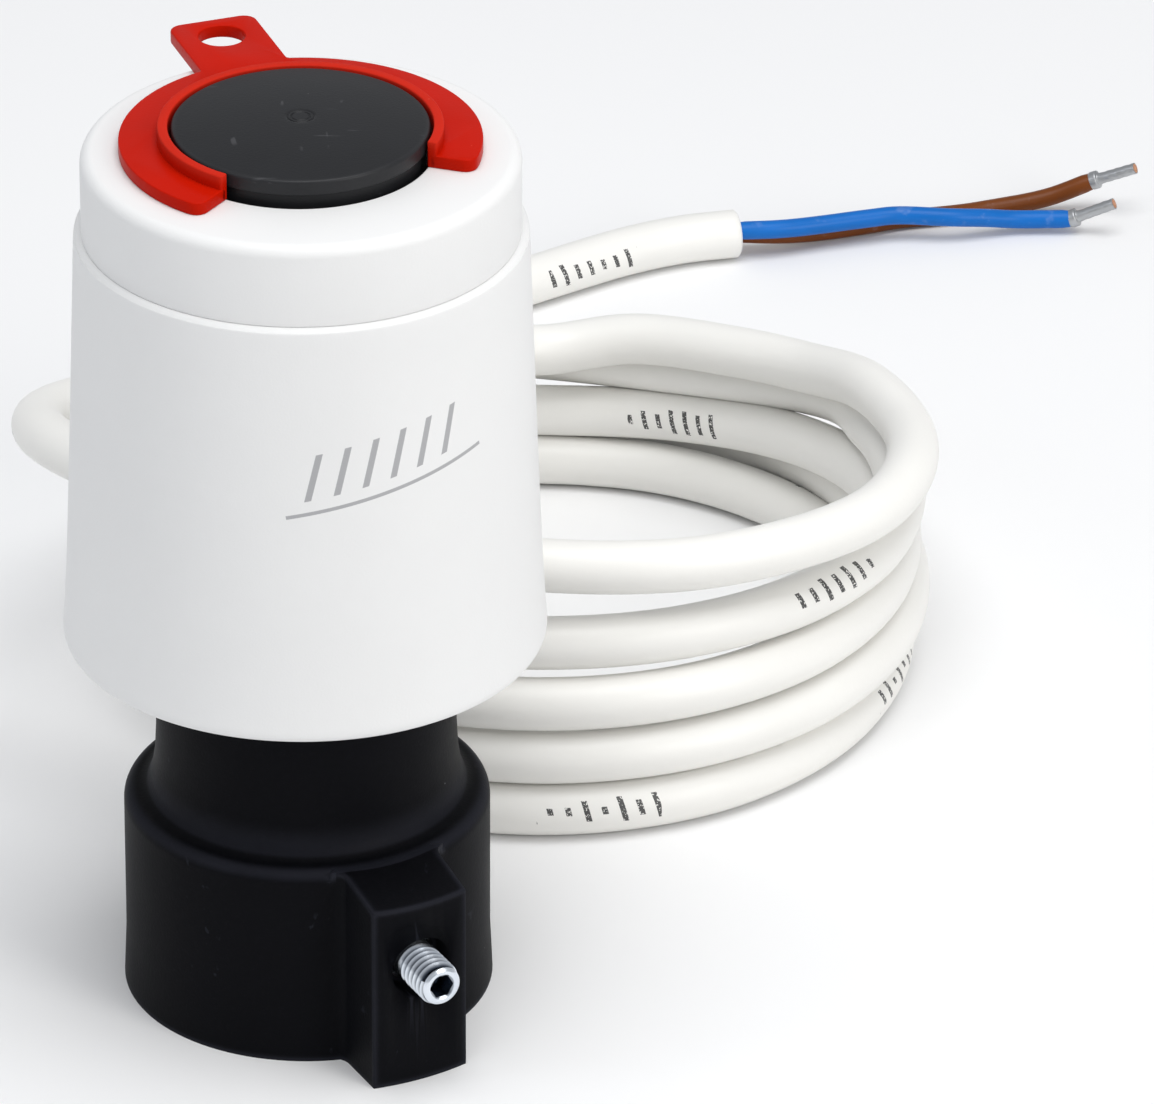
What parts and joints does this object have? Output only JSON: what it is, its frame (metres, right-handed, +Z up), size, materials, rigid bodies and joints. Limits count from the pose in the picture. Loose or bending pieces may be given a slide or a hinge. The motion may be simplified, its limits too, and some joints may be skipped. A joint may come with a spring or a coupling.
{
  "type": "electrothermal radiator valve actuator head",
  "caption": "Electrothermal actuator head for a radiator valve, with a clamp collar, a position disc, a pull-off lock clip and a two-core cable.",
  "frame": {"origin": "centre of the valve bore's mouth, on the adapter's lower face", "axes": "+Z up along the valve axis towards the position disc; -Z out of the valve bore; the cable leaves towards +Y and the set screw faces -Y, turned 26.8 degrees towards +X"},
  "size_m": [0.114, 0.1767, 0.086],
  "materials": {
    "black_plastic": "fine mould grain, satin",
    "white_plastic": "fine spark-eroded grain, matt",
    "red_plastic": "smooth, semi-gloss",
    "disc_plastic": "matt with light scratches",
    "zinc_steel": "bright zinc plated",
    "turned_steel": "turned",
    "spring_steel": "drawn wire",
    "natural_nylon": "natural",
    "black_rubber": "smooth",
    "contact_brass": "stamped",
    "capsule_brass": "turned",
    "heater_ceramic": "sintered",
    "wax": "waxy",
    "cable_sheath": "smooth PVC, soft sheen",
    "blue_insulation": "smooth PVC",
    "brown_insulation": "smooth PVC",
    "tinned_ferrule": "tinned, crimped"
  },
  "bodies": {
    "housing": {"valve_adapter": "black_plastic", "square_nut": "zinc_steel", "guide_bush": "natural_nylon", "bottom_plate": "white_plastic", "body_shell": "white_plastic", "top_cap": "white_plastic", "cap_seal": "black_rubber", "closing_spring": "spring_steel", "spring_seat": "turned_steel", "capsule_bridge": "natural_nylon", "lower_contact": "contact_brass", "ptc_heater": "heater_ceramic", "upper_contact": "contact_brass", "wax_capsule": "capsule_brass", "wax_charge": "wax", "capsule_guide": "capsule_brass", "crimp_terminals": "contact_brass", "blue_inner_lead": "blue_insulation", "brown_inner_lead": "brown_insulation", "strain_relief": "cable_sheath", "cable_lead": "cable_sheath", "cable_coil": "cable_sheath", "cable_tail": "cable_sheath", "blue_wire": "blue_insulation", "brown_wire": "brown_insulation", "blue_ferrule": "tinned_ferrule", "brown_ferrule": "tinned_ferrule"},
    "plunger": {"indicator_disc": "disc_plastic", "indicator_stem": "natural_nylon", "lift_yoke": "natural_nylon", "push_pin": "turned_steel", "capsule_piston": "turned_steel"},
    "clip": {"lock_clip": "red_plastic"},
    "screw": {"set_screw": "zinc_steel"}
  },
  "joints": [
    {"name": "plunger_travel", "type": "slide", "parent": "housing", "child": "plunger", "axis": [0, 0, 1], "range_m": [-0.003, 0], "deforming": ["closing_spring"]},
    {"name": "clip_lift_off", "type": "slide", "parent": "housing", "child": "clip", "axis": [0, 0, 1], "range_m": [0, 0.012]},
    {"name": "set_screw_travel", "type": "slide", "parent": "housing", "child": "screw", "axis": [-0.4509, 0.8926, 0], "range_m": [0, 0.0032]}
  ]
}
